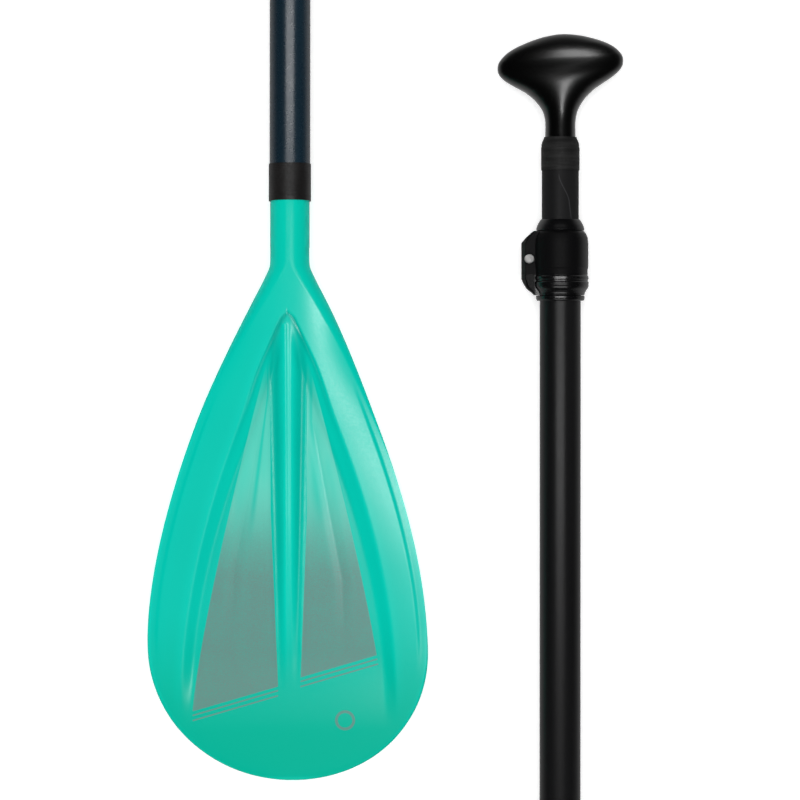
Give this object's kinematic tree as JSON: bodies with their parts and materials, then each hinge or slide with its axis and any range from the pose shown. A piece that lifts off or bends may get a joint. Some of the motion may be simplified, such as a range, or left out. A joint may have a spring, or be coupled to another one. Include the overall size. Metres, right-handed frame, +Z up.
{
  "type": "adjustable paddle",
  "caption": "Take-apart adjustable stand-up paddle lying flat: teal moulded blade on a navy shaft, beside a black telescoping shaft with cam clamp and palm grip.",
  "frame": {"origin": "centre of the underside of the two sections' common bounding box, on the ground", "axes": "+X across from the blade section to the grip section, +Y from the blade tip towards the grip, +Z up from the ground"},
  "size_m": [0.34, 1.2442, 0.0453],
  "materials": {
    "blade_teal": "satin moulded nylon",
    "collar_black": "matte",
    "shaft_navy": "glossy dark navy powder coat",
    "shaft_black": "glossy black powder coat",
    "extension_black": "satin black anodised",
    "spigot_black": "satin black anodised",
    "clamp_black": "semi-gloss moulded",
    "grip_black": "glossy",
    "sleeve_black": "matte shrink sleeve",
    "o_ring_rubber": "matte",
    "steel": "satin"
  },
  "bodies": {
    "lower_section": {"blade": "blade_teal", "blade_collar": "collar_black", "lower_shaft": "shaft_navy", "joint_ring": "collar_black", "joint_spigot": "spigot_black", "o_ring_low": "o_ring_rubber", "o_ring_high": "o_ring_rubber", "spigot_plug": "collar_black", "button_spring": "steel"},
    "button": {"snap_button": "steel"},
    "upper_section": {"upper_shaft": "shaft_black", "shaft_socket": "collar_black", "clamp_body": "clamp_black", "clamp_bottom_ring": "clamp_black", "clamp_top_ring": "clamp_black", "lever_pin": "steel"},
    "tension_screw": {"clamp_bolt": "steel"},
    "lever": {"clamp_lever": "clamp_black"},
    "extension": {"extension_tube": "extension_black", "extension_end_plug": "collar_black", "handle_grip": "grip_black", "handle_sleeve": "sleeve_black"}
  },
  "joints": [
    {"name": "section_lift", "type": "slide", "parent": "lower_section", "child": "upper_section", "axis": [0, 0, 1], "range_m": [0, 0.15]},
    {"name": "length_slide", "type": "slide", "parent": "upper_section", "child": "extension", "axis": [0, 0.9999, 0.0131], "range_m": [0, 0.42]},
    {"name": "lever_swing", "type": "hinge", "parent": "upper_section", "child": "lever", "pos_m": [0.10289, 0.06296, 0.01135], "axis": [0, 0.9999, 0.0131], "range_deg": [0, 130]},
    {"name": "tension_screw_turn", "type": "hinge", "parent": "upper_section", "child": "tension_screw", "pos_m": [0.10289, 0.06278, 0.02495], "axis": [0, -0.0131, 0.9999], "range_deg": [-180, 180]},
    {"name": "button_press", "type": "slide", "parent": "lower_section", "child": "button", "axis": [0, -0.0304, -0.9995], "range_m": [0, 0.0041], "stiffness_N_per_m": 800, "springref_m": -0.003, "deforming": ["button_spring"]}
  ]
}
